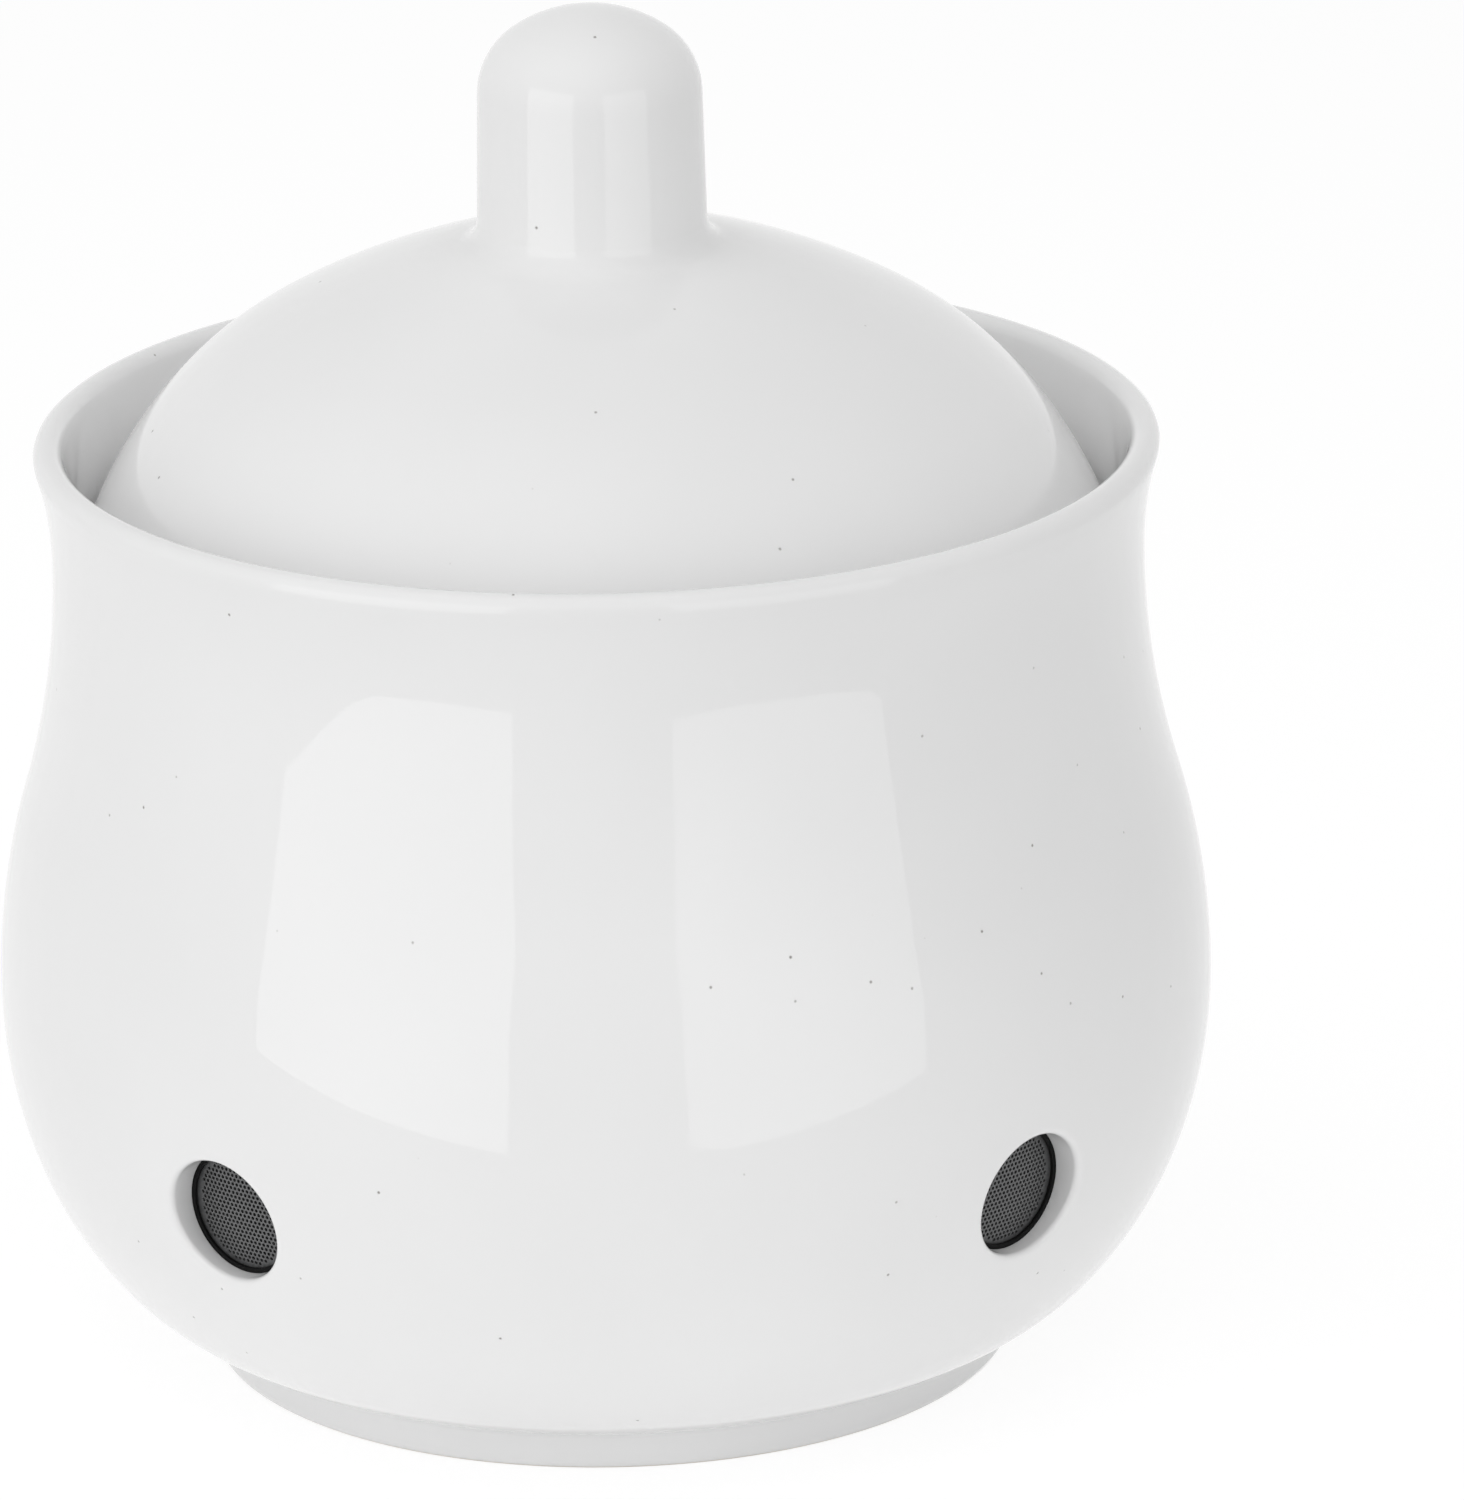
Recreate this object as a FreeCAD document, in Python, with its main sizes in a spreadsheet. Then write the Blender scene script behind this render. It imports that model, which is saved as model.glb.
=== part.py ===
import FreeCAD, Part
import math
import os
import Sketcher

# Garlic keeper: a bellied, glazed pot with a lid that drops into its neck, and four
# vents low in the wall, each closed by a perforated screen in a moulded seal.
# Millimetres, +Z up, origin at the middle of the foot where it meets the table.
# The front of the pot looks along -Y. Two vents are in front and two behind.

DRIVING_SIZES = {
    # pot, outside, from the table up
    "foot_radius": 43.2,
    "foot_height": 4.4,
    "foot_ring_width": 5.5,
    "foot_recess": 3.2,
    "foot_rounding": 0.9,
    "crease_fillet": 0.9,
    "heel_inset": 6.8,
    "heel_rise": 7.6,
    "haunch_inset": 2.95,
    "haunch_rise": 12.0,
    "belly_rise": 17.0,
    "belly_swell": 6.95,
    "shoulder_inset": 3.2,
    "shoulder_rise": 21.7,
    "neck_radius": 58.05,
    "neck_rise": 26.1,
    "rim_rise": 12.75,
    "rim_flare": 1.65,
    "rim_thickness": 3.1,
    # pot, inside
    "wall": 4.5,
    "ledge_height": 87.2,
    "ledge_width": 4.2,
    "ledge_depth": 5.2,
    "ledge_rounding": 1.0,
    "mouth_wall": 2.9,
    "mouth_depth": 1.6,
    # vents, seals and screens
    "vent_radius": 6.88,
    "vent_height": 31.25,
    "vent_tilt": 4.3,
    "vent_spread": 83.0,
    "vent_edge": 0.8,
    "seal_clearance": 0.05,
    "seal_lip": 0.48,
    "seal_reach": 1.1,
    "seal_flange_width": 2.2,
    "seal_flange_depth": 3.0,
    "seal_groove": 0.22,
    "screen_setback": 0.3,
    "screen_thickness": 0.5,
    "screen_crown": 0.35,
    "screen_pitch": 1.72,
    "screen_hole": 0.62,
    # lid, outside, from its edge to the top of the knob
    "lid_clearance": 0.4,
    "lid_edge": 2.3,
    "lid_edge_rise": 3.0,
    "lid_seat_step": 0.25,
    "lid_skirt_inset": 5.3,
    "lid_skirt_rise": 10.5,
    "lid_dome_inset": 14.45,
    "lid_dome_rise": 13.3,
    "lid_crown_rise": 7.9,
    "knob_fillet_reach": 2.2,
    "knob_fillet_rise": 2.7,
    "knob_radius": 12.15,
    "knob_side": 14.1,
    "knob_taper": 0.3,
    "knob_shoulder": 3.5,
    "knob_shoulder_rise": 6.25,
    "knob_crown_rise": 2.6,
    # lid, underneath
    "flange_clearance": 0.8,
    "flange_depth": 7.5,
    "flange_thickness": 3.4,
    "lid_wall": 4.3,
    "lid_lean": 30.0,
    "knob_wall": 4.2,
    "knob_mouth_drop": 1.0,
}

VENTS = {
    "front_right": "sizes.vent_spread / 2",
    "back_right": "180 - sizes.vent_spread / 2",
    "back_left": "180 + sizes.vent_spread / 2",
    "front_left": "-sizes.vent_spread / 2",
}


class Size:
    """A length with its value and the expression that gives it from the sheet."""

    def __init__(self, value, text):
        self.value = float(value)
        self.text = text

    def __add__(self, other):
        return Size(self.value + other.value, f"({self.text} + {other.text})")

    def __sub__(self, other):
        return Size(self.value - other.value, f"({self.text} - {other.text})")

    def __mul__(self, other):
        return Size(self.value * other.value, f"({self.text} * {other.text})")

    def __truediv__(self, other):
        return Size(self.value / other.value, f"({self.text} / {other.text})")

    def root(self):
        return Size(math.sqrt(self.value), f"sqrt({self.text})")

    def cos(self):
        return Size(math.cos(math.radians(self.value)), f"cos({self.text} * 1 deg)")

    def sin(self):
        return Size(math.sin(math.radians(self.value)), f"sin({self.text} * 1 deg)")


def number(value):
    return Size(value, repr(float(value)))


class Sizes:
    """Every driving size by its name, as a Size."""

    def __init__(self, values):
        for name, value in values.items():
            setattr(self, name, Size(value, f"sizes.{name}"))


s = Sizes(DRIVING_SIZES)
ZERO = number(0)
HALF = number(0.5)
SAME_PLACE = 1e-6


def fill_sheet(doc):
    sheet = doc.addObject("Spreadsheet::Sheet", "sizes")
    for row, (name, value) in enumerate(DRIVING_SIZES.items(), start=1):
        sheet.set(f"A{row}", name)
        sheet.set(f"B{row}", str(value))
        sheet.setAlias(f"B{row}", name)
    return sheet


# Geometry of arcs that run smoothly through given points

def arc_onward(start, heading, end):
    """Middle of the arc that leaves start along heading and reaches end, and its heading there."""
    chord = end - start
    turn = math.atan2(heading.x * chord.y - heading.y * chord.x, heading.dot(chord))
    middle = (start + end) * 0.5 + FreeCAD.Vector(chord.y, -chord.x, 0) * (math.tan(turn / 2) / 2)
    cos_turn, sin_turn = math.cos(2 * turn), math.sin(2 * turn)
    onward = FreeCAD.Vector(heading.x * cos_turn - heading.y * sin_turn,
                            heading.x * sin_turn + heading.y * cos_turn, 0)
    return middle, onward


def arc_to_round(start, heading, centre, radius, inner):
    """Arc that leaves start along heading, bends towards +x and ends tangent to a round lip.

    Gives its middle and its end. The lip lies inside the bend where inner is true.
    """
    side = FreeCAD.Vector(heading.y, -heading.x, 0)
    gap = start - centre
    reach = radius if inner else -radius
    bend = (radius ** 2 - gap.dot(gap)) / (2 * (side.dot(gap) + reach))
    bend_centre = start + side * bend
    end = bend_centre + (centre - bend_centre).normalize() * bend
    middle = bend_centre + ((start + end) * 0.5 - bend_centre).normalize() * abs(bend)
    return middle, end


class Outline:
    """A closed sketch outline, drawn from corner to corner, with every size tied to the sheet."""

    def __init__(self, body, name, plane):
        self.sketch = body.newObject("Sketcher::SketchObject", name)
        support = [f for f in body.Origin.OriginFeatures if f.Role == plane][0]
        self.sketch.AttachmentSupport = (support, [""])
        self.sketch.MapMode = "FlatFace"
        self.geometry = []
        self.ends = []
        self.rules = []
        self.ties = []

    def draw(self, geometry, start):
        """Adds a line or arc, and notes which of its ends is the one the outline starts from."""
        forward = (geometry.StartPoint - start).Length < SAME_PLACE
        self.ends.append((1, 2) if forward else (2, 1))
        self.geometry.append(geometry)
        return len(self.geometry) - 1

    def line(self, start, end):
        return self.draw(Part.LineSegment(start, end), start)

    def arc(self, start, middle, end):
        circle = Part.Arc(start, middle, end).toShape().Curve
        first, last = (start, end) if circle.Axis.z > 0 else (end, start)
        level = Part.Circle(circle.Center, FreeCAD.Vector(0, 0, 1), circle.Radius)
        begin, finish = level.parameter(first), level.parameter(last)
        if finish < begin:
            finish += 2 * math.pi
        return self.draw(Part.ArcOfCircle(level, begin, finish), start)

    def rule(self, kind, *where):
        self.rules.append(Sketcher.Constraint(kind, *where))

    def tie(self, kind, *where, size):
        """A size of the outline, given by an expression of the sheet's sizes."""
        self.ties.append((len(self.rules), size.text))
        self.rules.append(Sketcher.Constraint(kind, *where, size.value))

    def place(self, piece, x, y):
        """Ties the start of a piece to x and y."""
        for kind, size, axis in (("DistanceX", x, -2), ("DistanceY", y, -1)):
            if size is ZERO:
                self.rule("PointOnObject", piece, self.ends[piece][0], axis)
            else:
                self.tie(kind, -1, 1, piece, self.ends[piece][0], size=size)

    def close(self, corners, smooth):
        """Ties the corners that have sizes and joins all pieces end to end, some of them smoothly."""
        for piece, corner in enumerate(corners):
            if corner is not None:
                self.place(piece, *corner)
        count = len(self.geometry)
        for piece in range(count):
            following = (piece + 1) % count
            kind = "Tangent" if following in smooth else "Coincident"
            self.rule(kind, piece, self.ends[piece][1], following, self.ends[following][0])

    def finish(self):
        self.sketch.addGeometry(self.geometry, False)
        self.sketch.addConstraint(self.rules)
        for index, text in self.ties:
            name = f"tie_{index}"
            self.sketch.renameConstraint(index, name)
            self.sketch.setExpression(f"Constraints.{name}", text)
        return self.sketch


def at(x, y):
    return FreeCAD.Vector(x.value, y.value, 0)


def arc_centre(start, middle, end):
    return Part.Arc(start, middle, end).toShape().Curve.Center


UP = FreeCAD.Vector(0, 1, 0)
DOWN = FreeCAD.Vector(0, -1, 0)
RIGHT = FreeCAD.Vector(1, 0, 0)


# Places that more than one piece is made from

belly_radius = s.neck_radius + s.belly_swell
belly_height = s.foot_height + s.heel_rise + s.haunch_rise + s.belly_rise
shoulder = (belly_radius - s.shoulder_inset, belly_height + s.shoulder_rise)
neck = (s.neck_radius, shoulder[1] + s.neck_rise)
rim_height = neck[1] + s.rim_rise
lip_radius = s.rim_thickness * HALF
lip = (s.neck_radius + s.rim_flare - lip_radius, rim_height - lip_radius)
heel_end = (s.foot_radius + s.crease_fillet, s.foot_height)
haunch = (belly_radius - s.haunch_inset, belly_height - s.belly_rise)
heel = (haunch[0] - s.heel_inset, haunch[1] - s.haunch_rise)
mouth_radius = s.neck_radius - s.mouth_wall
ledge_radius = mouth_radius - s.ledge_width

# The wall above the vents is one arc of a circle from haunch to belly
haunch_bend = (s.haunch_inset * s.haunch_inset + s.belly_rise * s.belly_rise) / s.haunch_inset * HALF
vent_drop = belly_height - s.vent_height
inner_bend = haunch_bend - s.wall
vent_seat = belly_radius - haunch_bend + (inner_bend * inner_bend - vent_drop * vent_drop).root()


def make_pot_blank(doc):
    """The turned pot, before its vents are cut."""
    body = doc.addObject("PartDesign::Body", "pot_blank")
    belly = (belly_radius, belly_height)
    foot_inner = s.foot_radius - s.foot_ring_width
    corners = [
        (ZERO, s.foot_recess),
        (foot_inner, s.foot_recess),
        (foot_inner, s.foot_rounding),
        (foot_inner + s.foot_rounding, ZERO),
        (s.foot_radius - s.foot_rounding, ZERO),
        (s.foot_radius, s.foot_rounding),
        (s.foot_radius, s.foot_height - s.crease_fillet),
        heel_end,
        heel,
        haunch,
        belly,
        shoulder,
        neck,
        None,
        None,
        (mouth_radius, s.ledge_height + s.mouth_depth),
        (mouth_radius, s.ledge_height),
        (ledge_radius + s.ledge_rounding, s.ledge_height),
        (ledge_radius, s.ledge_height - s.ledge_rounding),
        (ledge_radius, s.ledge_height - s.ledge_depth),
        None,
        (belly_radius - s.wall, belly_height),
        None,
        None,
        None,
        None,
    ]
    p = [at(*corner) if corner else None for corner in corners]
    wall = s.wall.value
    outline = Outline(body, "pot_section", "XZ_Plane")

    def rounding(start, heading, end):
        outline.arc(start, arc_onward(start, heading, end)[0], end)

    # under the foot and up its side
    outline.line(p[0], p[1])
    outline.line(p[1], p[2])
    rounding(p[2], DOWN, p[3])
    outline.line(p[3], p[4])
    rounding(p[4], RIGHT, p[5])
    outline.line(p[5], p[6])
    rounding(p[6], UP, p[7])

    # outside, found downwards and upwards from the belly, where the wall stands upright
    middle, heading = {}, DOWN
    for start, end in ((10, 9), (9, 8), (8, 7)):
        middle[end], heading = arc_onward(p[start], heading, p[end])
    heading = UP
    for start, end in ((10, 11), (11, 12)):
        middle[start], heading = arc_onward(p[start], heading, p[end])
    for start in (7, 8, 9, 10, 11):
        outline.arc(p[start], middle[start], p[start + 1])

    # flared rim with a round lip, and back down to the ledge
    lip_top = at(lip[0], rim_height)
    flare, p[13] = arc_to_round(p[12], heading, at(*lip), lip_radius.value, False)
    inside, p[14] = arc_to_round(p[15], UP, at(*lip), lip_radius.value, True)
    outline.arc(p[12], flare, p[13])
    rim = outline.arc(p[13], lip_top, p[14])
    outline.arc(p[14], inside, p[15])
    outline.line(p[15], p[16])
    outline.line(p[16], p[17])
    rounding(p[17], FreeCAD.Vector(-1, 0, 0), p[18])
    outline.line(p[18], p[19])

    # inside, at one wall's thickness from the outside
    centre = {start: arc_centre(p[start], middle[start], p[start + 1]) for start in (7, 8, 9, 10)}

    def inward(start, point):
        reach = point - centre[start]
        return centre[start] + reach * (1 - wall / reach.Length)

    upper = (p[10] - centre[10]).Length - wall
    rise = p[11].y - centre[10].y
    p[20] = FreeCAD.Vector(centre[10].x + math.sqrt(upper ** 2 - rise ** 2), p[11].y, 0)
    p[22], p[23] = inward(9, p[9]), inward(8, p[8])
    p[24] = centre[7] - UP * ((p[7] - centre[7]).Length - wall)
    p[25] = FreeCAD.Vector(0, p[24].y, 0)
    radial = p[20] - centre[10]
    tangent = FreeCAD.Vector(-radial.y, radial.x, 0).normalize()
    outline.arc(p[19], arc_onward(p[20], tangent, p[19])[0], p[20])

    def along(start, end, core):
        outward = ((start + end) * 0.5 - core).normalize()
        outline.arc(start, core + outward * (start - core).Length, end)

    along(p[20], p[21], centre[10])
    along(p[21], p[22], centre[9])
    along(p[22], p[23], centre[8])
    along(p[23], p[24], centre[7])
    outline.line(p[24], p[25])
    outline.line(p[25], p[0])
    outline.close(corners, {2, 4, 6, 8, 9, 10, 11, 12, 13, 14, 15, 17, 20, 22, 23, 24})

    outline.tie("DistanceY", -1, 1, 9, 3, size=belly_height)
    outline.tie("DistanceX", -1, 1, rim, 3, size=lip[0])
    outline.tie("DistanceY", -1, 1, rim, 3, size=lip[1])
    outline.tie("Radius", rim, size=lip_radius)
    outline.tie("DistanceY", -1, 1, 20, outline.ends[20][0], size=shoulder[1])
    for inner, outer in ((20, 10), (21, 9), (22, 8), (23, 7)):
        outline.rule("Coincident", inner, 3, outer, 3)
    outline.rule("Horizontal", 24)
    outline.rule("PointOnObject", 25, outline.ends[25][0], -2)
    turn(body, outline.finish())
    return body


def turn(body, sketch):
    """Turns a section once round the upright axis of its sketch."""
    feature = body.newObject("PartDesign::Revolution", f"{body.Name}_turned")
    feature.Profile = sketch
    feature.ReferenceAxis = (sketch, ["V_Axis"])
    feature.Angle = 360
    return feature


def make_pot(doc, blank):
    """The pot: the turned blank with its vents cut and their outer edges softened."""
    body = doc.addObject("PartDesign::Body", "pot")
    body.BaseFeature = blank
    doc.recompute()
    for name, azimuth in VENTS.items():
        hole = body.newObject("PartDesign::SubtractiveCylinder", f"vent_{name}")
        hole.setExpression("Radius", "sizes.vent_radius")
        hole.setExpression("Height", "4 * sizes.wall")
        hole.setExpression("Placement", vent_place(azimuth, "-2 * sizes.wall"))
    doc.recompute()
    vented = body.Tip
    middle_of_wall = vent_seat.value + s.wall.value / 2
    edges = []
    for face in vented.Shape.Faces:
        drilled = isinstance(face.Surface, Part.Cylinder)
        if drilled and abs(face.Surface.Radius - s.vent_radius.value) < SAME_PLACE:
            rings = [edge for edge in face.Edges if not edge.isSeam(face)]
            edges += [e for e in rings if math.hypot(e.CenterOfMass.x, e.CenterOfMass.y) > middle_of_wall]
    if len(edges) < len(VENTS):
        raise RuntimeError("the vents do not cut through the wall")
    names = [f"Edge{i}" for i, edge in enumerate(vented.Shape.Edges, start=1) if any(edge.isSame(e) for e in edges)]
    soft = body.newObject("PartDesign::Fillet", "vent_edges")
    soft.Base = (vented, names)
    soft.setExpression("Radius", "sizes.vent_edge")
    return body


def vent_place(azimuth, along="0"):
    """Placement on a vent's axis, with local +Z leading out of the pot and a little down.

    It starts where the axis passes the inner face of the wall, moved by along.
    """
    turned = f"({azimuth}) * 1 deg"
    tilt = "sizes.vent_tilt * 1 deg"
    reach = f"({vent_seat.text} + ({along}) * cos({tilt}))"
    height = f"(sizes.vent_height - ({along}) * sin({tilt}))"
    spot = f"vector({reach} * sin({turned}); -{reach} * cos({turned}); {height})"
    facing = f"rotation(({azimuth}) - 90; 90 + sizes.vent_tilt; 0)"
    return f"placement({spot}; {facing})"


def rectangle(body, name, low, high):
    """A turned ring's section: low and high are its corners as (radius, height)."""
    corners = [low, (high[0], low[1]), high, (low[0], high[1])]
    points = [at(*corner) for corner in corners]
    outline = Outline(body, name, "XZ_Plane")
    for start, end in zip(points, points[1:] + points[:1]):
        outline.line(start, end)
    outline.close(corners, set())
    return outline.finish()


seal_radius = s.vent_radius - s.seal_clearance
screen_radius = seal_radius - s.seal_groove
screen_sight = seal_radius - s.seal_lip
screen_back = s.screen_setback
screen_face = s.screen_setback + s.screen_thickness


def make_seal(doc, blank, name, azimuth):
    """A moulded seal: a sleeve in the vent that holds the screen, with a flange on the wall's inside."""
    sleeve = doc.addObject("PartDesign::Body", f"sleeve_{name}")
    bottom = ZERO - s.seal_flange_depth
    corners = [
        (screen_sight, bottom),
        (seal_radius, bottom),
        (seal_radius, s.seal_reach),
        (screen_sight, s.seal_reach),
        (screen_sight, screen_face),
        (screen_radius, screen_face),
        (screen_radius, screen_back),
        (screen_sight, screen_back),
    ]
    points = [at(*corner) for corner in corners]
    outline = Outline(sleeve, f"sleeve_section_{name}", "XZ_Plane")
    for start, end in zip(points, points[1:] + points[:1]):
        outline.line(start, end)
    outline.close(corners, set())
    turn(sleeve, outline.finish())
    sleeve.setExpression("Placement", vent_place(azimuth))

    flange = doc.addObject("PartDesign::Body", f"flange_{name}")
    overlap = (screen_sight + seal_radius) * HALF
    turn(flange, rectangle(flange, f"flange_section_{name}", (overlap, bottom),
                           (seal_radius + s.seal_flange_width, s.seal_reach)))
    flange.setExpression("Placement", vent_place(azimuth))

    seated = doc.addObject("Part::Cut", f"flange_seated_{name}")
    seated.Base = flange
    seated.Tool = blank
    seal = doc.addObject("Part::Fuse", f"vent_seal_{name}")
    seal.Base = sleeve
    seal.Tool = seated
    seal.Refine = True
    return seal


def make_screen(doc, name, azimuth):
    """A perforated metal screen: a slightly crowned disc with rings of six-sided holes."""
    body = doc.addObject("PartDesign::Body", f"vent_screen_{name}")
    crown = s.screen_crown
    corners = [
        (ZERO, screen_back + crown),
        (screen_sight, screen_back),
        (screen_radius, screen_back),
        (screen_radius, screen_face),
        (screen_sight, screen_face),
        (ZERO, screen_face + crown),
    ]
    p = [at(*corner) for corner in corners]
    outline = Outline(body, f"screen_section_{name}", "XZ_Plane")
    outline.arc(p[0], arc_onward(p[0], RIGHT, p[1])[0], p[1])
    outline.line(p[1], p[2])
    outline.line(p[2], p[3])
    outline.line(p[3], p[4])
    outline.arc(p[4], arc_onward(p[5], RIGHT, p[4])[0], p[5])
    outline.line(p[5], p[0])
    outline.close(corners, set())
    for arc in (0, 4):
        outline.rule("PointOnObject", arc, 3, -2)
    turn(body, outline.finish())

    # the middle hole, then one sixth of each ring of holes, carried round
    through = "4 * (sizes.screen_thickness + sizes.screen_crown + sizes.screen_setback)"
    ring = 0
    while ring == 0 or s.screen_pitch.value * ring + s.screen_hole.value < screen_sight.value:
        sketch = holes_of_ring(body, name, ring)
        pocket = body.newObject("PartDesign::Pocket", f"holes_{ring}_{name}")
        pocket.Profile = sketch
        pocket.Midplane = True
        pocket.setExpression("Length", through)
        if ring:
            spread = body.newObject("PartDesign::PolarPattern", f"ring_{ring}_{name}")
            spread.Originals = [pocket]
            spread.Axis = ([f for f in body.Origin.OriginFeatures if f.Role == "Z_Axis"][0], [""])
            spread.Angle = 360
            spread.Occurrences = 6
            body.Tip = spread
        ring += 1
    body.setExpression("Placement", vent_place(azimuth))
    return body


def holes_of_ring(body, name, ring):
    """Sketch of the six-sided holes along one side of a ring of holes in a honeycomb grid."""
    outline = Outline(body, f"hole_sketch_{ring}_{name}", "XY_Plane")
    steps = [(0, 0)] if ring == 0 else [(ring - step * 0.5, step * math.sqrt(0.75)) for step in range(ring)]
    for across, up in steps:
        x, y = s.screen_pitch * number(across), s.screen_pitch * number(up)
        corners = []
        for side in range(6):
            angle = number(side * 60 + 30)
            corners.append((x + s.screen_hole * angle.cos(), y + s.screen_hole * angle.sin()))
        points = [at(*corner) for corner in corners]
        first = len(outline.geometry)
        for start, end in zip(points, points[1:] + points[:1]):
            outline.line(start, end)
        for side, corner in enumerate(corners):
            outline.place(first + side, *corner)
            outline.rule("Coincident", first + side, 2, first + (side + 1) % 6, 1)
    return outline.finish()


# Places on the lid, from its widest edge up to the knob and down to the flange

lid_radius = mouth_radius - s.lid_clearance
lid_edge = (lid_radius, s.ledge_height + s.lid_edge_rise)
lid_skirt = (lid_radius - s.lid_skirt_inset, lid_edge[1] + s.lid_skirt_rise)
lid_dome = (lid_skirt[0] - s.lid_dome_inset, lid_skirt[1] + s.lid_dome_rise)
knob_root = (s.knob_radius + s.knob_fillet_reach, lid_dome[1] + s.lid_crown_rise)
knob_base = (s.knob_radius, knob_root[1] + s.knob_fillet_rise)
knob_side = (s.knob_radius - s.knob_taper, knob_base[1] + s.knob_side)
knob_shoulder = (knob_side[0] - s.knob_shoulder, knob_side[1] + s.knob_shoulder_rise)
knob_top = knob_shoulder[1] + s.knob_crown_rise
flange_radius = ledge_radius - s.flange_clearance
flange_bore = flange_radius - s.flange_thickness
cavity_radius = knob_side[0] - s.knob_wall
cavity_top = knob_top - s.knob_wall


def make_lid(doc):
    """The lid: a hollow dome with a tall knob, an edge that rests on the ledge and a locating flange."""
    body = doc.addObject("PartDesign::Body", "lid")
    flange_round = s.ledge_height - s.flange_depth + s.flange_thickness * HALF
    corners = [
        (ZERO, knob_top),
        knob_shoulder,
        knob_side,
        knob_base,
        knob_root,
        lid_dome,
        lid_skirt,
        lid_edge,
        (lid_radius - s.lid_edge, s.ledge_height + s.lid_seat_step),
        (lid_radius - s.lid_edge, s.ledge_height),
        (flange_radius, s.ledge_height),
        (flange_radius, flange_round),
        (flange_bore, flange_round),
        (flange_bore, lid_skirt[1] - s.lid_wall * s.lid_lean.cos()),
        (lid_dome[0] - s.lid_wall * s.lid_lean.sin(), lid_dome[1] - s.lid_wall * s.lid_lean.cos()),
        (cavity_radius, knob_root[1] - s.knob_mouth_drop),
        (cavity_radius, cavity_top - cavity_radius),
        (ZERO, cavity_top),
    ]
    p = [at(*corner) for corner in corners]
    outline = Outline(body, "lid_section", "XZ_Plane")

    def bend(start, heading):
        middle, onward = arc_onward(p[start], heading, p[start + 1])
        outline.arc(p[start], middle, p[start + 1])
        return onward

    # outside: knob, dome and edge
    heading = bend(0, RIGHT)
    bend(1, heading)
    outline.line(p[2], p[3])
    heading = (p[3] - p[2]).normalize()
    for start in (3, 4, 5, 6, 7):
        heading = bend(start, heading)

    # seat, flange and hollow
    outline.line(p[8], p[9])
    outline.line(p[9], p[10])
    outline.line(p[10], p[11])
    bend(11, DOWN)
    outline.line(p[12], p[13])
    inside = (p[14] - p[15]).normalize()
    outline.arc(p[13], arc_onward(p[14], inside, p[13])[0], p[14])
    outline.line(p[14], p[15])
    outline.line(p[15], p[16])
    bend(16, UP)
    outline.line(p[17], p[0])
    outline.close(corners, {1, 3, 4, 5, 6, 7, 11, 14, 16})
    outline.rule("PointOnObject", 0, 3, -2)
    turn(body, outline.finish())
    return body


def build():
    doc = FreeCAD.newDocument("garlic_keeper")
    fill_sheet(doc)
    doc.recompute()
    blank = make_pot_blank(doc)
    doc.recompute()
    pieces = {"pot": make_pot(doc, blank), "lid": make_lid(doc)}
    for name, azimuth in VENTS.items():
        pieces[f"vent_seal_{name}"] = make_seal(doc, blank, name, azimuth)
        pieces[f"vent_screen_{name}"] = make_screen(doc, name, azimuth)
    doc.recompute()
    return doc, pieces


def check(doc, pieces):
    for thing in doc.Objects:
        if "Invalid" in thing.State or "Error" in thing.State:
            raise RuntimeError(f"{thing.Label} failed: {thing.State}")
    for name, piece in pieces.items():
        if piece.Shape.isNull() or not piece.Shape.isValid() or len(piece.Shape.Solids) != 1:
            raise RuntimeError(f"{name} is not one valid solid")


def write(pieces):
    os.makedirs("parts", exist_ok=True)
    for name, piece in pieces.items():
        piece.Label = name
        piece.Shape.exportStep(f"parts/{name}.step")


doc, pieces = build()
check(doc, pieces)
write(pieces)
for name, piece in pieces.items():
    print(name, round(piece.Shape.Volume, 1))
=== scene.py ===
import math

import bmesh
import bpy
from bpy.props import FloatProperty, FloatVectorProperty, IntProperty, PointerProperty
from bpy.types import Operator, Panel, PropertyGroup
from mathutils import Matrix, Vector


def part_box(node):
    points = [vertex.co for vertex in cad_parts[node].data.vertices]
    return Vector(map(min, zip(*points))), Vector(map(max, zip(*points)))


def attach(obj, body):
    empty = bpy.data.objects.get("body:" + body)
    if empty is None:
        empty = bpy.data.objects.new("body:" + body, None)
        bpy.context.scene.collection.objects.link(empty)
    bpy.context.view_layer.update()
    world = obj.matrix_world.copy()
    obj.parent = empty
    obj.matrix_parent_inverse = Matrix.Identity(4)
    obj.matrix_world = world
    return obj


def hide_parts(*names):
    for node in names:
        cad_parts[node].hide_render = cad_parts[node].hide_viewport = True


bl_info = {
    "name": "Vented Garlic Keeper",
    "version": (1, 0, 0),
    "blender": (4, 5, 0),
    "location": "View3D > Sidebar > Keeper",
    "description": "Models a vented ceramic pot with a knobbed lid, and the studio it stands in",
    "category": "Add Mesh",
}

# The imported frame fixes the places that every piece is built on
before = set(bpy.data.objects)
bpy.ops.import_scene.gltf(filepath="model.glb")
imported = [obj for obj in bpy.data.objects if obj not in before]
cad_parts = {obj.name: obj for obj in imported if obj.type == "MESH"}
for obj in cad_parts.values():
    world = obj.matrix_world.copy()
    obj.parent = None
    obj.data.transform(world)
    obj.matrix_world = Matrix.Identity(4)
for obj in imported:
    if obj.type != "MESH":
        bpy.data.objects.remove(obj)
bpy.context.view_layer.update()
POT_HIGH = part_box("pot")[1]
VENTS = ("front_right", "back_right", "back_left", "front_left")

MM = 0.001
SAME_PLACE = 0.002 * MM
ARC_STEP = 1.1 * MM
FEWEST_ARC_STEPS = 4
SMOOTH_ANGLE = math.radians(32)

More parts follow.
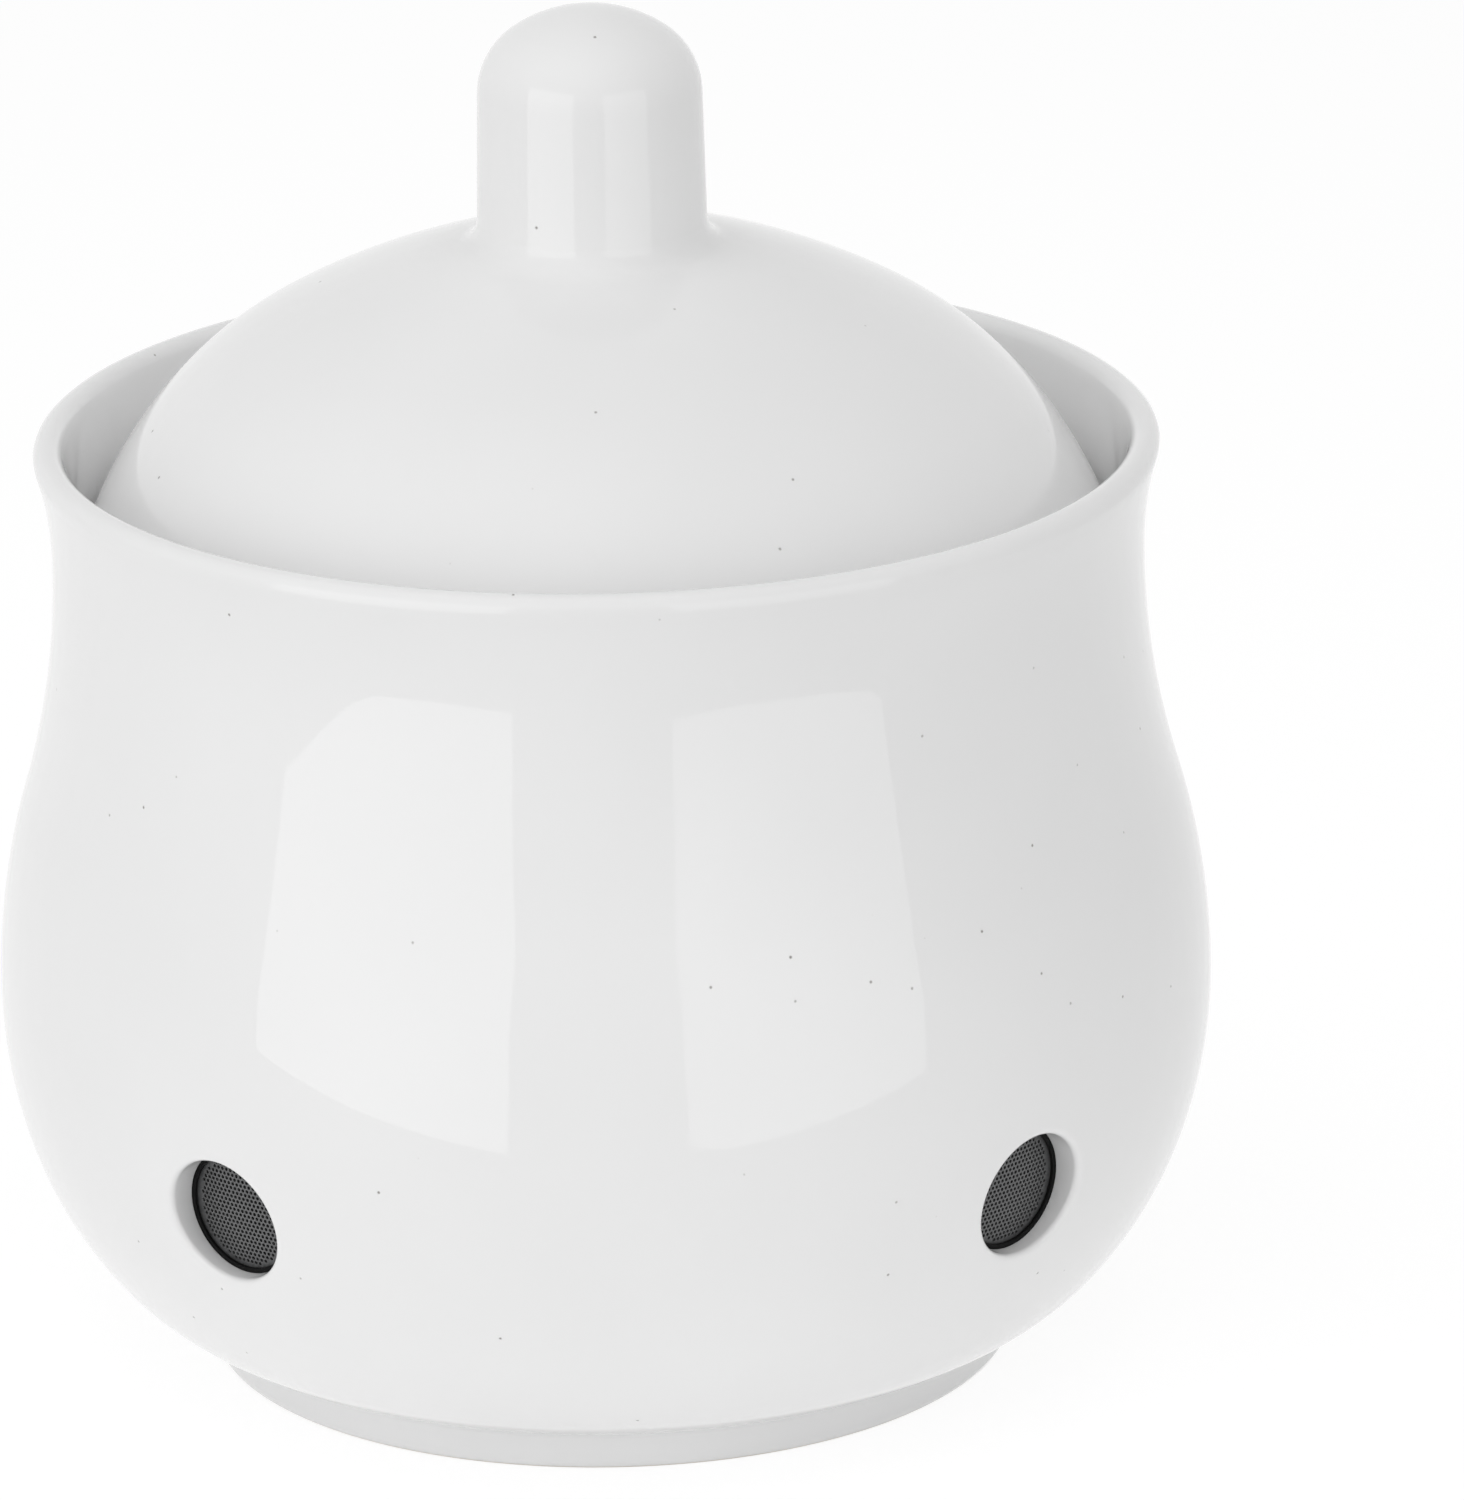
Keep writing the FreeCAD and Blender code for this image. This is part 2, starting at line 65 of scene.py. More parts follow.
# A vent's cutter is this many walls long, and its edge is found from this many walls away
CUTTER_WALLS = 4
SEARCH_WALLS = 3
CUT_SLACK = 0.02 * MM
VENT_EDGE_STEPS = 8

HOLE_SIDES = 12
SCREEN_SIDES = 96
WELDS_PER_PITCH = 50
LONGER_THAN_HOLE_SIDE = 1.2

# Noises in the finishes, as scale and detail
DRIFT = (22.0, 2.0)
PATCHES = (60.0, 3.0)
RIPPLE = (90.0, 1.0)
GRIT = (1500.0, 4.0)
GRAIN_DETAIL = 3.0

# Most of a noise lies between these two, and is spread over a finish's own range
NOISE_RANGE = (0.3, 0.7)
TONE_RANGE = (0.975, 1.01)
SHEEN_RANGE = (0.8, 1.25)
GRAIN_RANGE = (0.85, 1.15)

# The two glazed pieces differ in the spacing of their pinholes
POT_PINHOLE_CELLS = 178.0
LID_PINHOLE_CELLS = 171.0
PINHOLE_SIZE = 0.042
PINHOLE_HEIGHT = -3.0
CLAY_ROUGHNESS = 0.75
GLAZE_BUMP = 0.04 * MM
GLAZE_IOR = 1.5
POT_BARE_BELOW = 0.3 * MM
LID_BARE_BELOW = 0.0

SCREEN_GRAIN = 2500.0
RUBBER_GRAIN = 1800.0
GRAIN_BUMP = 0.01 * MM

# Lights, as azimuth and elevation in degrees, then distance, width and height in metres
BRIGHTEST = 20
LEFT_BOX = (-44, 6, 0.9, 0.82, 0.80)
RIGHT_BOX = (34.3, 6, 0.9, 0.76, 0.75)
FILL_SPREAD = (1.1, 0.9, 0.9)
FILLS = {
    "left_fill": (-80, 15),
    "right_fill": (45, 35),
    "upper_left_fill": (-90, 60),
    "upper_right_fill": (90, 60),
    "top_fill": (0, 75),
}

# The sensor's width is in millimetres, and the rest in metres
TABLE_WIDTH = 1.2
TABLE_DEPTH = 0.9
TABLE_SETBACK = 0.25
SENSOR_WIDTH = 36
FARTHEST_SEEN = 20

UP = Vector((0, 1))
DOWN = Vector((0, -1))
LEFT = Vector((-1, 0))
RIGHT = Vector((1, 0))


def length(name, description, millimetres):
    """A size in the add-on's settings, given here in millimetres."""
    return FloatProperty(name=name, description=description, default=millimetres * MM,
                         unit="LENGTH", precision=5)


def colour(name, description, red, green, blue):
    """A colour in the add-on's settings."""
    return FloatVectorProperty(name=name, description=description, subtype="COLOR", size=3,
                               min=0, max=1, default=(red, green, blue))


def amount(name, description, value, highest=1.0):
    """A strength or a share in the add-on's settings."""
    return FloatProperty(name=name, description=description, default=value, min=0, max=highest)


class PotSizes(PropertyGroup):
    foot_radius: length("Foot radius", "Outer radius of the foot ring", 43.2)
    foot_height: length("Foot height", "Height of the foot below the body's underside", 4.4)
    foot_ring_width: length("Foot ring width", "Width of the ring that meets the table", 5.5)
    foot_recess: length("Foot recess", "Depth of the hollow inside the foot ring", 3.2)
    foot_rounding: length("Foot rounding", "Rounding of the foot ring's edges", 0.9)
    crease_fillet: length("Crease fillet", "Rounding where the foot meets the underside", 0.9)
    heel_inset: length("Heel inset", "Heel's radius short of the haunch's", 6.8)
    heel_rise: length("Heel rise", "Heel's height above the underside", 7.6)
    haunch_inset: length("Haunch inset", "Haunch's radius short of the belly's", 2.95)
    haunch_rise: length("Haunch rise", "Haunch's height above the heel", 12.0)
    belly_rise: length("Belly rise", "Widest place's height above the haunch", 17.0)
    shoulder_inset: length("Shoulder inset", "Shoulder's radius short of the belly's", 3.2)
    shoulder_rise: length("Shoulder rise", "Shoulder's height above the belly", 21.7)
    neck_inset: length("Neck inset", "Neck's radius short of the belly's", 6.95)
    neck_rise: length("Neck rise", "Neck's height above the shoulder", 26.1)
    rim_flare: length("Rim flare", "Rim's reach beyond the neck", 1.65)
    rim_thickness: length("Rim thickness", "Thickness of the rounded rim", 3.1)
    wall: length("Wall", "Thickness of the pot's wall", 4.5)
    ledge_height: length("Ledge height", "Height of the ledge that carries the lid", 87.2)
    ledge_width: length("Ledge width", "Width of the ledge", 4.2)
    ledge_depth: length("Ledge depth", "Depth of the ledge's upright face", 5.2)
    ledge_rounding: length("Ledge rounding", "Rounding of the ledge's edge", 1.0)
    mouth_wall: length("Mouth wall", "Thickness of the wall above the ledge", 2.9)
    mouth_depth: length("Mouth depth", "Straight part of the wall above the ledge", 1.6)
    steps_round: IntProperty(name="Steps round", description="Faces round the pot", default=288, min=24)


class LidSizes(PropertyGroup):
    clearance: length("Clearance", "Gap between the lid's edge and the pot's mouth", 0.4)
    edge: length("Edge", "Width of the rounded edge", 2.3)
    edge_rise: length("Edge rise", "Height of the widest place above the ledge", 3.0)
    seat_step: length("Seat step", "Height of the bare ring that the lid rests on", 0.25)
    skirt_inset: length("Skirt inset", "Skirt's radius short of the edge's", 5.3)
    skirt_rise: length("Skirt rise", "Skirt's height above the edge", 10.5)
    dome_inset: length("Dome inset", "Dome's radius short of the skirt's", 14.45)
    dome_rise: length("Dome rise", "Dome's height above the skirt", 13.3)
    crown_rise: length("Crown rise", "Height of the knob's root above the dome", 7.9)
    knob_fillet_reach: length("Knob fillet reach", "Width of the fillet under the knob", 2.2)
    knob_fillet_rise: length("Knob fillet rise", "Height of the fillet under the knob", 2.7)
    knob_radius: length("Knob radius", "Radius of the knob above its fillet", 12.15)
    knob_side: length("Knob side", "Height of the knob's straight side", 14.1)
    knob_taper: length("Knob taper", "Narrowing of the knob towards its shoulder", 0.3)
    knob_shoulder: length("Knob shoulder", "Width of the knob's rounded shoulder", 3.5)
    knob_shoulder_rise: length("Knob shoulder rise", "Height of the knob's rounded shoulder", 6.25)
    knob_crown_rise: length("Knob crown rise", "Height of the knob's crown", 2.6)
    flange_clearance: length("Flange clearance", "Gap between the flange and the ledge", 0.8)
    flange_depth: length("Flange depth", "Depth of the flange below the ledge", 7.5)
    flange_thickness: length("Flange thickness", "Thickness of the flange", 3.4)
    wall: length("Wall", "Thickness of the lid's wall", 4.3)
    lean: FloatProperty(name="Lean", description="Slope of the dome where its wall is measured",
                        default=math.radians(30), subtype="ANGLE")
    knob_wall: length("Knob wall", "Thickness of the knob's wall", 4.2)
    knob_mouth_drop: length("Knob mouth drop", "Knob hollow's mouth below the knob's root", 1.0)
    steps_round: IntProperty(name="Steps round", description="Faces round the lid", default=240, min=24)


class VentSizes(PropertyGroup):
    radius: length("Radius", "Radius of a vent", 6.88)
    edge: length("Edge", "Rounding of a vent's outer edge", 0.8)
    margin: length("Margin", "Smooth ground kept round a vent's rounded edge", 1.0)
    tilt: FloatProperty(name="Tilt", description="Slope of a vent's axis, down and outwards",
                        default=math.radians(4.3), subtype="ANGLE")
    sides: IntProperty(name="Sides", description="Faces round a vent", default=96, min=12)


class ScreenSizes(PropertyGroup):
    radius: length("Radius", "Radius of the screen's disc", 6.61)
    sight: length("Sight", "Radius of the perforated part", 6.05)
    thickness: length("Thickness", "Thickness of the sheet", 0.5)
    crown: length("Crown", "Height of the screen's middle above its rim", 0.35)
    pitch: length("Pitch", "Distance between the holes", 0.55)
    hole: length("Hole", "Radius of a hole", 0.19)


class Finishes(PropertyGroup):
    glaze: colour("Glaze", "Colour of the glaze", 0.90, 0.90, 0.90)
    clay: colour("Clay", "Colour of the bare clay under the foot", 0.80, 0.76, 0.70)
    pinhole: colour("Pinhole", "Colour of the pinholes in the glaze", 0.24, 0.22, 0.20)
    glaze_roughness: amount("Glaze roughness", "Roughness of the glaze", 0.02)
    rubber: colour("Rubber", "Colour of the moulded seals", 0.006, 0.006, 0.006)
    screen: colour("Screen", "Colour of the painted screens", 0.125, 0.126, 0.128)
    table: colour("Table", "Colour of the studio's table", 0.97, 0.97, 0.97)
    rubber_roughness: amount("Rubber roughness", "Roughness of the seals", 0.6)
    rubber_gloss: amount("Rubber gloss", "Strength of the seals' highlights", 0.12)
    screen_roughness: amount("Screen roughness", "Roughness of the screens' paint", 0.42)
    screen_metal: amount("Screen metal", "How far the screens look like bare metal", 0.35)


class StudioSettings(PropertyGroup):
    surround: amount("Surround", "Light from all round", 0.33, BRIGHTEST)
    left_box: amount("Left box", "Box mirrored on the left of the belly", 1.1, BRIGHTEST)
    right_box: amount("Right box", "Box mirrored on the right of the belly", 0.9, BRIGHTEST)
    left_fill: amount("Left fill", "Soft light on the left", 0.45, BRIGHTEST)
    right_fill: amount("Right fill", "Soft light on the right", 0.1, BRIGHTEST)
    upper_left_fill: amount("Upper left fill", "Soft light high on the left", 0.6, BRIGHTEST)
    upper_right_fill: amount("Upper right fill", "Soft light high on the right", 0.3, BRIGHTEST)
    top_fill: amount("Top fill", "Soft light overhead", 1.1, BRIGHTEST)
    table_glow: amount("Table glow", "Light that the table gives off itself", 0.1)
    shadow: amount("Shadow", "Strength of the shadow on the table", 0.2)
    table_level: amount("Table level", "How bright the open table is under these lights", 0.75)
    lens: FloatProperty(name="Lens", description="Focal length of the camera", default=288,
                        subtype="DISTANCE_CAMERA")
    camera_distance: length("Camera distance", "Camera's distance from the pot's axis", 1216.755)
    camera_height: length("Camera height", "Camera's height above the table", 472.598)
    camera_azimuth: FloatProperty(name="Camera azimuth", description="Camera's place round the pot",
                                  default=math.radians(-2.08), subtype="ANGLE")
    pan: FloatProperty(name="Pan", description="Camera's turn to the right", default=0.0114,
                       subtype="ANGLE")
    tilt: FloatProperty(name="Tilt", description="Camera's tilt downwards", default=0.3231,
                        subtype="ANGLE")
    roll: FloatProperty(name="Roll", description="Camera's roll", default=0.0154, subtype="ANGLE")


# Selecting and cleaning up


def deselect():
    bpy.ops.object.select_all(action="DESELECT")


def activate(piece):
    deselect()
    piece.select_set(True)
    bpy.context.view_layer.objects.active = piece


def apply_modifier(piece, modifier):
    activate(piece)
    bpy.ops.object.modifier_apply(modifier=modifier.name)


def delete(piece):
    bpy.data.objects.remove(piece, do_unlink=True)


def edit(piece):
    """Opens a piece in edit mode with nothing selected, and gives its mesh."""
    activate(piece)
    bpy.ops.object.mode_set(mode="EDIT")
    bpy.ops.mesh.select_mode(type="VERT")
    bpy.ops.mesh.select_all(action="DESELECT")
    return bmesh.from_edit_mesh(piece.data)


def pick(piece, mesh, chosen):
    """Selects the chosen edges or faces and nothing else."""
    bpy.ops.mesh.select_all(action="DESELECT")
    for part in chosen:
        part.select_set(True)
    bmesh.update_edit_mesh(piece.data)


def leave_edit():
    bpy.ops.object.mode_set(mode="OBJECT")


def smooth(piece):
    activate(piece)
    bpy.ops.object.shade_smooth_by_angle(angle=SMOOTH_ANGLE)


def finish_piece(piece, body, slot, material, *nodes):
    piece.data.materials.clear()
    piece.data.materials.append(material)
    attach(piece, body)
    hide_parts(*nodes)


# Outlines of turned pieces, as (radius, height)


def bend(start, end, centre):
    """Signed angle from start to end round centre, anticlockwise above nought."""
    before, after = start - centre, end - centre
    return math.atan2(before.x * after.y - before.y * after.x, before.dot(after))


def smooth_arcs(points, heading):
    """Centres of the arcs that run smoothly through the points, and the heading at their end."""
    centres = []
    for start, end in zip(points, points[1:]):
        chord = end - start
        turn = math.atan2(heading.x * chord.y - heading.y * chord.x, heading.dot(chord))
        centre = start + Vector((-heading.y, heading.x)) * chord.length / (2 * math.sin(turn))
        centres.append(centre)
        onward = Matrix.Rotation(bend(start, end, centre), 3, "Z") @ heading.to_3d()
        heading = onward.to_2d()
    return centres, heading


def arc_to_lip(start, heading, lip, radius):
    """Centre and end of the arc that leaves start along heading and meets a round lip smoothly.

    A negative radius puts the lip outside the bend.
    """
    side = Vector((heading.y, -heading.x))
    gap = start - lip
    reach = (radius * radius - gap.dot(gap)) / (2 * (side.dot(gap) + radius))
    centre = start + side * reach
    return centre, centre + (lip - centre).normalized() * reach


class Outline:
    """An outline drawn in the XZ plane as by hand, from one vertex, then turned round Z."""

    def __init__(self, name, start):
        deselect()
        bpy.ops.mesh.primitive_plane_add(size=MM)
        self.piece = bpy.context.object
        self.piece.name = name
        bpy.ops.object.mode_set(mode="EDIT")
        bpy.ops.mesh.merge(type="CENTER")
        bpy.ops.transform.translate(value=(start.x, 0, start.y))
        self.point = start

    def line(self, *ends):
        for end in ends:
            step = end - self.point
            bpy.ops.mesh.extrude_region_move(TRANSFORM_OT_translate={"value": (step.x, 0, step.y)})
            self.point = end

    def arc(self, centre, end):
        angle = bend(self.point, end, centre)
        steps = max(FEWEST_ARC_STEPS, round(abs(angle) * (end - centre).length / ARC_STEP))
        bpy.ops.mesh.spin(steps=steps, angle=angle, center=(centre.x, 0, centre.y), axis=(0, 1, 0))
        self.point = end

    def onward(self, heading, end):
        """Arc that leaves along heading and reaches end."""
        centres, heading = smooth_arcs([self.point, end], heading)
        self.arc(centres[0], end)
        return heading

    def turn(self, steps):
        bpy.ops.mesh.select_all(action="SELECT")
        bpy.ops.mesh.spin(steps=steps, angle=2 * math.pi, center=(0, 0, 0), axis=(0, 0, 1))
        bpy.ops.mesh.select_all(action="SELECT")
        bpy.ops.mesh.remove_doubles(threshold=SAME_PLACE)
        bpy.ops.mesh.normals_make_consistent(inside=False)
        leave_edit()
        return self.piece


def at(radius, height):
    return Vector((radius, height))


def neck_radius(pot):
    return POT_HIGH.x - pot.neck_inset


def mouth_radius(pot):
    return neck_radius(pot) - pot.mouth_wall


def turned_pot(pot):
    """The pot as it comes off the wheel, before its vents are cut."""
    belly = at(POT_HIGH.x, pot.foot_height + pot.heel_rise + pot.haunch_rise + pot.belly_rise)
    haunch = at(belly.x - pot.haunch_inset, belly.y - pot.belly_rise)
    heel = at(haunch.x - pot.heel_inset, haunch.y - pot.haunch_rise)
    underside = at(pot.foot_radius + pot.crease_fillet, pot.foot_height)
    shoulder = at(belly.x - pot.shoulder_inset, belly.y + pot.shoulder_rise)
    neck = at(neck_radius(pot), shoulder.y + pot.neck_rise)
    lower, _ = smooth_arcs([belly, haunch, heel, underside], DOWN)
    upper, heading = smooth_arcs([belly, shoulder, neck], UP)

    foot_inner = pot.foot_radius - pot.foot_ring_width
    outline = Outline("pot_shell", at(0, pot.foot_recess))
    outline.line(at(foot_inner, pot.foot_recess), at(foot_inner, pot.foot_rounding))
    outline.onward(DOWN, at(foot_inner + pot.foot_rounding, 0))
    outline.line(at(pot.foot_radius - pot.foot_rounding, 0))
    outline.onward(RIGHT, at(pot.foot_radius, pot.foot_rounding))
    outline.line(at(pot.foot_radius, pot.foot_height - pot.crease_fillet))
    outline.onward(UP, underside)
    for centre, end in zip(reversed(lower), (heel, haunch, belly)):
        outline.arc(centre, end)
    for centre, end in zip(upper, (shoulder, neck)):
        outline.arc(centre, end)

    # flared rim with a round lip
    lip_radius = pot.rim_thickness / 2
    lip = at(neck.x + pot.rim_flare - lip_radius, POT_HIGH.z - lip_radius)
    mouth = at(mouth_radius(pot), pot.ledge_height + pot.mouth_depth)
    flare, lip_start = arc_to_lip(neck, heading, lip, -lip_radius)
    inside, lip_end = arc_to_lip(mouth, UP, lip, lip_radius)
    outline.arc(flare, lip_start)
    outline.arc(lip, at(lip.x, POT_HIGH.z))
    outline.arc(lip, lip_end)
    outline.arc(inside, mouth)

    # ledge for the lid
    ledge_radius = mouth.x - pot.ledge_width
    outline.line(at(mouth.x, pot.ledge_height), at(ledge_radius + pot.ledge_rounding, pot.ledge_height))
    outline.onward(LEFT, at(ledge_radius, pot.ledge_height - pot.ledge_rounding))
    outline.line(at(ledge_radius, pot.ledge_height - pot.ledge_depth))

    # inside, at one wall's thickness from the outside
    def inward(point, centre):
        reach = point - centre
        return centre + reach * (1 - pot.wall / reach.length)

    bend_inside = (belly - upper[0]).length - pot.wall
    rise = shoulder.y - upper[0].y
    shoulder_inside = at(upper[0].x + math.sqrt(bend_inside ** 2 - rise ** 2), shoulder.y)
    radial = (shoulder_inside - upper[0]).normalized()
    under_ledge, _ = smooth_arcs([shoulder_inside, outline.point], at(-radial.y, radial.x))
    outline.arc(under_ledge[0], shoulder_inside)
    outline.arc(upper[0], at(belly.x - pot.wall, belly.y))
    outline.arc(lower[0], inward(haunch, lower[0]))
    outline.arc(lower[1], inward(heel, lower[1]))
    floor = at(lower[2].x, lower[2].y - ((heel - lower[2]).length - pot.wall))
    outline.arc(lower[2], floor)
    outline.line(at(0, floor.y))
    return outline.turn(pot.steps_round)


def turned_lid(pot, lid):
    """The hollow lid with its knob, from the knob's top round to the inside."""
    edge = at(mouth_radius(pot) - lid.clearance, pot.ledge_height + lid.edge_rise)
    skirt = at(edge.x - lid.skirt_inset, edge.y + lid.skirt_rise)
    dome = at(skirt.x - lid.dome_inset, skirt.y + lid.dome_rise)
    root = at(lid.knob_radius + lid.knob_fillet_reach, dome.y + lid.crown_rise)
    base = at(lid.knob_radius, root.y + lid.knob_fillet_rise)
    side = at(lid.knob_radius - lid.knob_taper, base.y + lid.knob_side)
    shoulder = at(side.x - lid.knob_shoulder, side.y + lid.knob_shoulder_rise)
    top = shoulder.y + lid.knob_crown_rise
    outline = Outline("lid_shell", at(0, top))
    heading = outline.onward(RIGHT, shoulder)
    outline.onward(heading, side)
    outline.line(base)
    heading = (base - side).normalized()
    seat_edge = at(edge.x - lid.edge, pot.ledge_height + lid.seat_step)
    for end in (root, dome, skirt, edge, seat_edge):
        heading = outline.onward(heading, end)

    flange_radius = mouth_radius(pot) - pot.ledge_width - lid.flange_clearance
    flange_bore = flange_radius - lid.flange_thickness
    flange_round = pot.ledge_height - lid.flange_depth + lid.flange_thickness / 2
    outline.line(at(seat_edge.x, pot.ledge_height), at(flange_radius, pot.ledge_height),
                 at(flange_radius, flange_round))
    outline.onward(DOWN, at(flange_bore, flange_round))
    drop, inset = lid.wall * math.cos(lid.lean), lid.wall * math.sin(lid.lean)
    outline.line(at(flange_bore, skirt.y - drop))
    cavity_radius = side.x - lid.knob_wall
    dome_inside = at(dome.x - inset, dome.y - drop)
    mouth = at(cavity_radius, root.y - lid.knob_mouth_drop)
    centres, _ = smooth_arcs([dome_inside, outline.point], (dome_inside - mouth).normalized())
    outline.arc(centres[0], dome_inside)
    cavity_top = top - lid.knob_wall
    outline.line(mouth, at(cavity_radius, cavity_top - cavity_radius))
    outline.onward(UP, at(0, cavity_top))
    return outline.turn(lid.steps_round)


# Vents


def vent_axis(name, tilt):
    """Middle of a vent's screen and the direction of the vent's axis, out of the pot."""
    low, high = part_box(f"vent_screen_{name}")
    middle = (low + high) / 2
    azimuth = math.atan2(middle.y, middle.x)
    level = math.cos(tilt)
    return middle, Vector((math.cos(azimuth) * level, math.sin(azimuth) * level, -math.sin(tilt)))


def cut_vent(shell, uncut, middle, outward, vent, wall):
    """Cuts one vent through the wall, with a softly rounded outer edge that follows the wall."""
    cut_radius = vent.radius + vent.edge + vent.margin
    cut_depth = CUTTER_WALLS * wall
    facing = outward.to_track_quat("Z", "Y").to_euler()
    deselect()
    bpy.ops.mesh.primitive_cylinder_add(vertices=vent.sides, radius=cut_radius, depth=cut_depth,
                                        location=middle, rotation=facing)
    cutter = bpy.context.object
    cut = shell.modifiers.new("vent", "BOOLEAN")
    cut.operation = "DIFFERENCE"
    cut.solver = "EXACT"
    cut.object = cutter
    apply_modifier(shell, cut)
    delete(cutter)

    mesh = edit(shell)

    def from_axis(place):
        offset = place - middle
        along = offset.dot(outward)
        return along, offset - outward * along

    def near(place):
        along, spoke = from_axis(place)
        return abs(along) < cut_depth and spoke.length < cut_radius + CUT_SLACK

    bore = [face for face in mesh.faces if all(near(vert.co) for vert in face.verts)]
    pick(shell, mesh, bore)
    bpy.ops.mesh.delete(type="FACE")

    mesh = bmesh.from_edit_mesh(shell.data)
    rims = [edge for edge in mesh.edges if edge.is_boundary]
    middle_of_wall = sum(from_axis(edge.verts[0].co)[0] for edge in rims) / len(rims)
    outer = [edge for edge in rims if from_axis(edge.verts[0].co)[0] > middle_of_wall]

    def ring(radius, depth, from_inside=False):
        """Carries the selected rim inwards to a radius, at a depth below the wall's face."""
        bpy.ops.mesh.extrude_edges_move()
        moved = bmesh.from_edit_mesh(shell.data)
        look = outward if from_inside else -outward
        for vert in moved.verts:
            if vert.select:
                spoke = from_axis(vert.co)[1].normalized()
                start = middle + spoke * radius - look * wall * SEARCH_WALLS
                hit, place, _, _ = uncut.ray_cast(start, look)
                if not hit:
                    raise RuntimeError("a vent's edge misses the wall")
                vert.co = place + look * depth
        bmesh.update_edit_mesh(shell.data)

    pick(shell, mesh, outer)
    ring(vent.radius + vent.edge + vent.margin / 2, 0)
    for step in range(VENT_EDGE_STEPS + 1):
        angle = step / VENT_EDGE_STEPS * math.pi / 2
        ring(vent.radius + vent.edge * (1 - math.sin(angle)), vent.edge * (1 - math.cos(angle)))
    ring(vent.radius, wall / 2)
    ring(vent.radius, 0, from_inside=True)

    # close the strip on the inner face, between the bore's end and the wall
    mesh = bmesh.from_edit_mesh(shell.data)
    pick(shell, mesh, [edge for edge in mesh.edges if edge.is_boundary])
    bpy.ops.mesh.bridge_edge_loops()
    leave_edit()


# Screens


def honeycomb_cell(screen):
    """One six-sided cell of the screen, with its round hole."""
    deselect()
    bpy.ops.mesh.primitive_circle_add(vertices=HOLE_SIDES, radius=screen.hole)
    cell = bpy.context.object
    bpy.ops.object.mode_set(mode="EDIT")
    bpy.ops.mesh.extrude_edges_move()
    grow = screen.pitch / 2 / screen.hole
    bpy.ops.transform.resize(value=(grow, grow, grow))
    mesh = bmesh.from_edit_mesh(cell.data)
    corners = []
    for vert in mesh.verts:
        step = round(math.atan2(vert.co.y, vert.co.x) * HOLE_SIDES / math.tau)
        if vert.select and step % 2:
            corners.append(vert)
    pick(cell, mesh, corners)
    grow = 2 / math.sqrt(3)
    bpy.ops.transform.resize(value=(grow, grow, grow))
    leave_edit()
    return cell


def row_of_cells(cell, row, screen):
    """A copy of the cell, repeated along one row of the round screen."""
    height = row * screen.pitch * math.sqrt(3) / 2
    reach = (math.sqrt(screen.sight ** 2 - height ** 2) - screen.pitch / 2) / screen.pitch
    count = 2 * math.floor(reach + 0.5) if row % 2 else 2 * math.floor(reach) + 1
    if count < 1:
        return None
    piece = cell.copy()
    piece.data = cell.data.copy()
    bpy.context.collection.objects.link(piece)
    repeat = piece.modifiers.new("row", "ARRAY")
    repeat.count = count
    repeat.use_relative_offset = False
    repeat.use_constant_offset = True
    repeat.constant_offset_displace = (screen.pitch, 0, 0)
    apply_modifier(piece, repeat)
    piece.location = ((1 - count) / 2 * screen.pitch, height, 0)
    bpy.ops.object.transform_apply(location=True, rotation=False, scale=False)
    return piece


def flat_screen(screen):
    """A perforated disc with a plain margin, crowned and given its thickness."""
    cell = honeycomb_cell(screen)
    last_row = int(screen.sight / (screen.pitch * math.sqrt(3) / 2))
    rows = [row_of_cells(cell, row, screen) for row in range(-last_row, last_row + 1)]
    rows = [row for row in rows if row]
    delete(cell)
    activate(rows[0])
    for row in rows:
        row.select_set(True)
    bpy.ops.object.join()
    disc = rows[0]
    edit(disc)
    bpy.ops.mesh.select_all(action="SELECT")
    bpy.ops.mesh.remove_doubles(threshold=screen.pitch / WELDS_PER_PITCH)
    bpy.ops.mesh.select_all(action="DESELECT")
    bpy.ops.mesh.primitive_circle_add(vertices=SCREEN_SIDES, radius=screen.radius)

    # fill the plain margin, between the rim and the outer sides of the cells
    mesh = bmesh.from_edit_mesh(disc.data)
    longest_hole_side = 2 * screen.hole * math.sin(math.pi / HOLE_SIDES) * LONGER_THAN_HOLE_SIDE
    rim = [edge for edge in mesh.edges if not edge.link_faces]
    cell_sides = [edge for edge in mesh.edges
                  if edge.is_boundary and edge.calc_length() > longest_hole_side]
    pick(disc, mesh, rim + cell_sides)
    bpy.ops.mesh.fill(use_beauty=True)
    bpy.ops.mesh.select_all(action="SELECT")
    bpy.ops.mesh.normals_make_consistent(inside=False)
    mesh = bmesh.from_edit_mesh(disc.data)
    mesh.faces.ensure_lookup_table()
    if mesh.faces[0].normal.z < 0:
        bpy.ops.mesh.flip_normals()

    # raise the middle into a shallow crown
    mesh = bmesh.from_edit_mesh(disc.data)
    middle_drop = (screen.crown - screen.thickness) / 2
    for vert in mesh.verts:
        vert.co.z = screen.crown * (1 - (vert.co.to_2d().length / screen.radius) ** 2) - middle_drop
    bmesh.update_edit_mesh(disc.data)
    leave_edit()
    sheet = disc.modifiers.new("sheet", "SOLIDIFY")
    sheet.thickness = screen.thickness
    sheet.offset = -1
    apply_modifier(disc, sheet)
    smooth(disc)
    return disc


def seat_copy(plain, name, middle, outward):
    """A copy of a round piece, moved from the origin to its vent."""
    piece = plain.copy()
    piece.data = plain.data.copy()
    piece.name = name
    piece.data.name = name
    bpy.context.collection.objects.link(piece)
    facing = outward.to_track_quat("Z", "Y").to_matrix().to_4x4()
    piece.matrix_world = Matrix.Translation(middle) @ facing
    activate(piece)
    bpy.ops.object.transform_apply(location=True, rotation=True, scale=True)
    return piece


# Finishes


